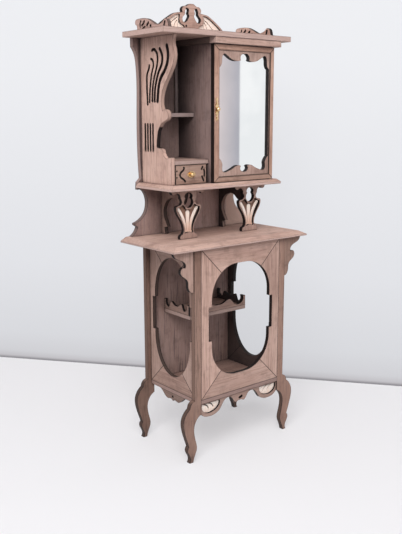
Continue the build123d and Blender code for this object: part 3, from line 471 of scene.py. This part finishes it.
def markedFace(paint, name, look, face, across):
    # lines, pockets, and patches of painted shade and light on the faces of one sheet
    if look["innerLine"]:
        axis, end, share = look["innerLine"]
        inset = abs(paint.axis(axis) - extent(name, axis)[end])
        face = paint.mix((1.0 - inset.step(*walnut["innerLine"])) * share, face, walnut["char"])
    if look["pocket"]:
        depth = (paint.axis(across) - extent(name, across)[0]).step(*walnut["pocketDepth"])
        face = paint.mix(depth * paint.faces(across, -1) * walnut["pocketShare"], face, look["pocket"])
    for group, along, lean in mitredFrames:
        if name in group:
            lines = mitreLines(paint, group, along, lean)
            face = paint.mix(lines * walnut["mitreShare"], face, walnut["char"])
    fadeAcross, fadeUp = walnut["patchFade"]
    # patches of painted shade and painted light on the front face
    for reach, heights, share, colour in look["patches"]:
        inside = paint.axis(0).between(*reach, fadeAcross) * paint.axis(2).between(*heights, fadeUp)
        face = paint.mix(inside * paint.faces(across, -1) * share, face, walnut[colour])
    # painted shade on left faces inside the case, deeper towards the back
    if look["smoked"]:
        front, back = look["smoked"]
        share = front + (back - front) * paint.axis(1).step(*walnut["shadowDepth"])
        face = paint.mix(paint.faces(across, -1) * share, face, walnut["smoke"])
    return face


def walnutSheet(name, seed):
    look = usual | sheets.get(name, {})
    sides = [sizeOf(name, axis) for axis in range(3)]
    across = sides.index(min(sides)) if look["across"] is None else look["across"]
    grain = sides.index(max(sides)) if look["grain"] is None else look["grain"]
    paint = newPaint(name)
    shift = [seed * offset for offset in walnut["shift"]]
    kinds = ("lines", "fine", "cloud", "smudge", "uneven")
    lines, fine, cloud, smudge, uneven = [figure(paint, kind, grain, shift) for kind in kinds]
    low, high = extent(name, across)
    through = abs((paint.axis(across) - (low + high) / 2) / ((high - low) / 2))
    face = grainFace(paint, look, lines, fine, cloud, smudge)
    cut = burntCut(paint, look, through, uneven) if look["burnt"] else sawnCut(paint, through, fine)
    # the sheet's own tone, with painted shade on the inner and lower pieces
    toneAndShade = [255 * look["shade"] ** (1 / walnut["gamma"]) * share for share in look["tint"]]
    face = markedFace(paint, name, look, paint.mix(1.0, face, toneAndShade, "MULTIPLY"), across)
    cut = paint.mix(1.0, cut, toneAndShade, "MULTIPLY")
    colour = paint.mix(paint.faces(across), cut, face)
    # painted shade on faces turned to the left
    if look["leftBevel"]:
        leftward = paint.faces(0, -1, *walnut["bevelFacing"])
        colour = paint.mix(leftward * look["leftBevel"], colour, walnut["shadeColour"])
    # painted shade deep in corners and painted shadow lines along seams
    cornerShade = paint.nook(walnut["nook"]).step(*walnut["nookLevels"]) * walnut["nookShare"]
    cornerShade = cornerShade.upper(paint.nook(walnut["seam"]).step(*walnut["seamLevels"]) * walnut["seamShare"])
    colour = paint.mix(cornerShade, colour, walnut["shadeColour"])
    scorched = paint.arris(walnut["arris"]) * (walnut["arrisShare"] + uneven * walnut["arrisUneven"])
    strength = walnut["burntArris"] if look["burnt"] else walnut["sawnArris"]
    colour = paint.mix(scorched * strength, colour, walnut["char"])
    return paint.surface(**{
        "Base Color": colour,
        "Roughness": walnut["rough"] + fine * walnut["roughUneven"],
        "Normal": paint.bump(lines * 0.5 + fine * 0.5, walnut["relief"], walnut["reliefShare"]),
        "Specular IOR Level": walnut["specular"],
    })


slotOf = {part["node"]: part["material_slot"] for part in frame["record"]["subparts"]}
walnutPieces = [name for name in nodes if slotOf[name] in ("case_wood", "panel_wood")]
for seed, name in enumerate(walnutPieces, 1):
    dress(nodes[name], walnutSheet(name, seed))
print("walnut pieces dressed,", len(walnutPieces))

# light maple of the inlays
maple = {
    "bands": ((0.3, (248, 222, 204)), (0.6, (255, 242, 230))),
    "grain": {"scale": (1500.0, 1500.0, 90.0), "detail": 3.0, "rough": 0.6},
    "foot": (214, 166, 140),
    "footTo": 0.8,          # share of the height over which they darken downwards
    "rough": 0.55,
    "relief": 0.00004,
    "reliefShare": 0.3,
}
mapleFoot = {"apron_inlays": 0.3, "baluster_inlays": 0.85, "crest_inlays": 0.3}


def mapleInlay(name, footShare):
    paint = newPaint(name)
    lines = paint.noise(**maple["grain"])
    low = extent(name, 2)[0]
    foot = 1.0 - paint.axis(2).step(low, low + sizeOf(name, 2) * maple["footTo"])
    return paint.surface(**{
        "Base Color": paint.mix(foot * footShare, paint.ramp(lines, maple["bands"]), maple["foot"]),
        "Roughness": maple["rough"],
        "Normal": paint.bump(lines, maple["relief"], maple["reliefShare"]),
    })


for name, footShare in mapleFoot.items():
    dress(nodes[name], mapleInlay(name, footShare))

# brass of the pull, the knob and the hinge pins
brass = {
    "bands": ((0.35, (184, 144, 94)), (0.65, (248, 222, 176))),
    "wear": {"scale": (900.0, 900.0, 900.0), "detail": 3.0, "rough": 0.6},
    "rough": 0.2,
    "roughUneven": 0.15,
}


def brassFitting(name):
    paint = newPaint(name)
    wear = paint.noise(**brass["wear"])
    return paint.surface(**{
        "Base Color": paint.ramp(wear, brass["bands"]),
        "Metallic": 1.0,
        "Roughness": brass["rough"] + wear * brass["roughUneven"],
    })


for name in ("door_pull", "drawer_knob", "door_hinge_pins"):
    dress(nodes[name], brassFitting(name))

# mirror with a matt painted back
mirror = {
    "bands": ((0.4, (236, 238, 240)), (0.6, (246, 247, 248))),
    "haze": {"scale": (60.0, 60.0, 60.0), "detail": 2.0, "rough": 0.5},
    "rough": 0.012,
    "roughUneven": 0.012,
    "backBands": ((0.35, (112, 110, 112)), (0.65, (132, 130, 130))),
    "backRough": 0.5,
}


def mirrorGlass(name):
    paint = newPaint(name)
    haze = paint.noise(**mirror["haze"])
    behind = paint.faces(1, 1)
    glass = paint.ramp(haze, mirror["bands"])
    return paint.surface(**{
        "Base Color": paint.mix(behind, glass, paint.ramp(haze, mirror["backBands"])),
        "Metallic": 1.0 - behind,
        "Roughness": mirror["rough"] + haze * mirror["roughUneven"] + behind * mirror["backRough"],
    })


dress(nodes["door_mirror"], mirrorGlass("door_mirror"))
print("inlays, brass and mirror dressed")

# floor and backdrop of matt paper
room = {
    "size": 3.0,
    "floor": (237, 235, 236),
    "floorGlow": 0.45,      # how much of the paper's paleness is its own
    "wall": (235, 236, 239),
    "wallGlow": 0.85,
    "wallFrom": (0.0015, 0.1179, 0.0),
    "wallTo": (0.0895, 0.0067, 0.0),
    "foot": (               # painted shade darkening the foot of the wall, darkest in a line along the bottom, in shares of its reach
        (0.003, (142, 140, 144)),
        (0.01, (194, 192, 196)),
        (0.03, (209, 209, 213)),
        (0.1, (217, 218, 222)),
        (0.35, (226, 227, 231)),
    ),
    "footReach": 160.0,     # in millimetres
    "bounce": 0.8,          # colour of the paper as it lights the object, against what is seen
}


def stagePlane(name, matrix):
    mesh = bpy.data.meshes.new(name)
    form = bmesh.new()
    bmesh.ops.create_grid(form, x_segments=1, y_segments=1, size=room["size"] / 2)
    bmesh.ops.transform(form, matrix=matrix, verts=form.verts)
    form.to_mesh(mesh)
    form.free()
    piece = bpy.data.objects.new(name, mesh)
    scene.collection.objects.link(piece)
    return piece


def paper(name, colour, glow, foot=(), oneSided=False):
    # glows a little for the camera, and is clear to reflections and, where one-sided, from behind
    paint = newPaint(name)
    cameraRay, glossyRay = paint.node("ShaderNodeLightPath", out=("Is Camera Ray", "Is Glossy Ray"))
    # painted shade at the foot of the wall, where a foot ramp is given
    seen = paint.ramp(paint.axis(2) / room["footReach"], (*foot, (1.0, colour))) if foot else colour
    bounced = [c * room["bounce"] for c in colour]
    lit = paint.node("ShaderNodeBsdfDiffuse", None, Color=paint.mix(cameraRay, bounced, seen))
    own = paint.node("ShaderNodeEmission", None, Color=tone(seen), Strength=1.0)
    shader = paint.node("ShaderNodeMixShader", None, cameraRay * glow, lit, own)
    gone = glossyRay
    if oneSided:
        gone = glossyRay.upper(paint.node("ShaderNodeNewGeometry", out="Backfacing"))
    clear = paint.node("ShaderNodeBsdfTransparent")
    shader = paint.node("ShaderNodeMixShader", None, gone, shader, clear)
    paint.node("ShaderNodeOutputMaterial", None, shader)
    return paint.owner


dress(stagePlane("floor", Matrix.Identity(4)), paper("floorPaper", room["floor"], room["floorGlow"]))
start, up = Vector(room["wallFrom"]), Vector((0, 0, 1))
lengthwise = (Vector(room["wallTo"]) - start).normalized()
turned = Matrix((lengthwise, up, lengthwise.cross(up))).transposed().to_4x4()
wall = stagePlane("backdrop", Matrix.Translation(start + up * room["size"] / 2) @ turned)
dress(wall, paper("backdropPaper", room["wall"], room["wallGlow"], room["foot"], oneSided=True))

# one soft lamp, and light from all round
lamp = {"place": (-0.35, -0.33, 0.50), "aim": (0.0, 0.0, 0.10), "size": 0.4, "power": 3.7}
lampData = bpy.data.lights.new("main", "AREA")
lampData.size = lamp["size"]
lampData.energy = lamp["power"]
light = bpy.data.objects.new("main", lampData)
light.location = lamp["place"]
light.rotation_euler = (Vector(lamp["aim"]) - Vector(lamp["place"])).to_track_quat("-Z", "Y").to_euler()
scene.collection.objects.link(light)

air = {
    "light": 0.72,
    "colour": (240, 243, 250),
    "plain": (238, 239, 242),           # what the camera sees past the paper
    "plainTo": (0.5, 0.66),             # bearings at which a reflection's plain colour ends
    "from": 0.70,                       # bearings, right of straight ahead, that the mirror shows
    "to": 0.74,
    "bands": (
        (0.175, (224, 213, 213)),
        (0.8, (186, 184, 192)),
        (0.852, (186, 184, 192)),
        (0.872, (252, 253, 253)),
    ),
}
world = bpy.data.worlds.new("room")
sky = Paint(world)
cameraRay, glossyRay = sky.node("ShaderNodeLightPath", out=("Is Camera Ray", "Is Glossy Ray"))
eastward, northward = sky.apart(sky.node("ShaderNodeTexCoord", out="Generated"))[:2]
bearing = eastward.math("ARCTAN2", northward * -1.0)
bands = sky.ramp((bearing - air["from"]) / (air["to"] - air["from"]), air["bands"])
plain = (1.0 - bearing.step(*air["plainTo"])).upper(cameraRay)
shown = sky.node("ShaderNodeBackground", None, Color=sky.mix(plain, bands, air["plain"]), Strength=1.0)
soft = sky.node("ShaderNodeBackground", None, Color=tone(air["colour"]), Strength=air["light"])
both = sky.node("ShaderNodeMixShader", None, glossyRay.upper(cameraRay), soft, shown)
sky.node("ShaderNodeOutputWorld", None, both)
scene.world = world
print("stage and light set")
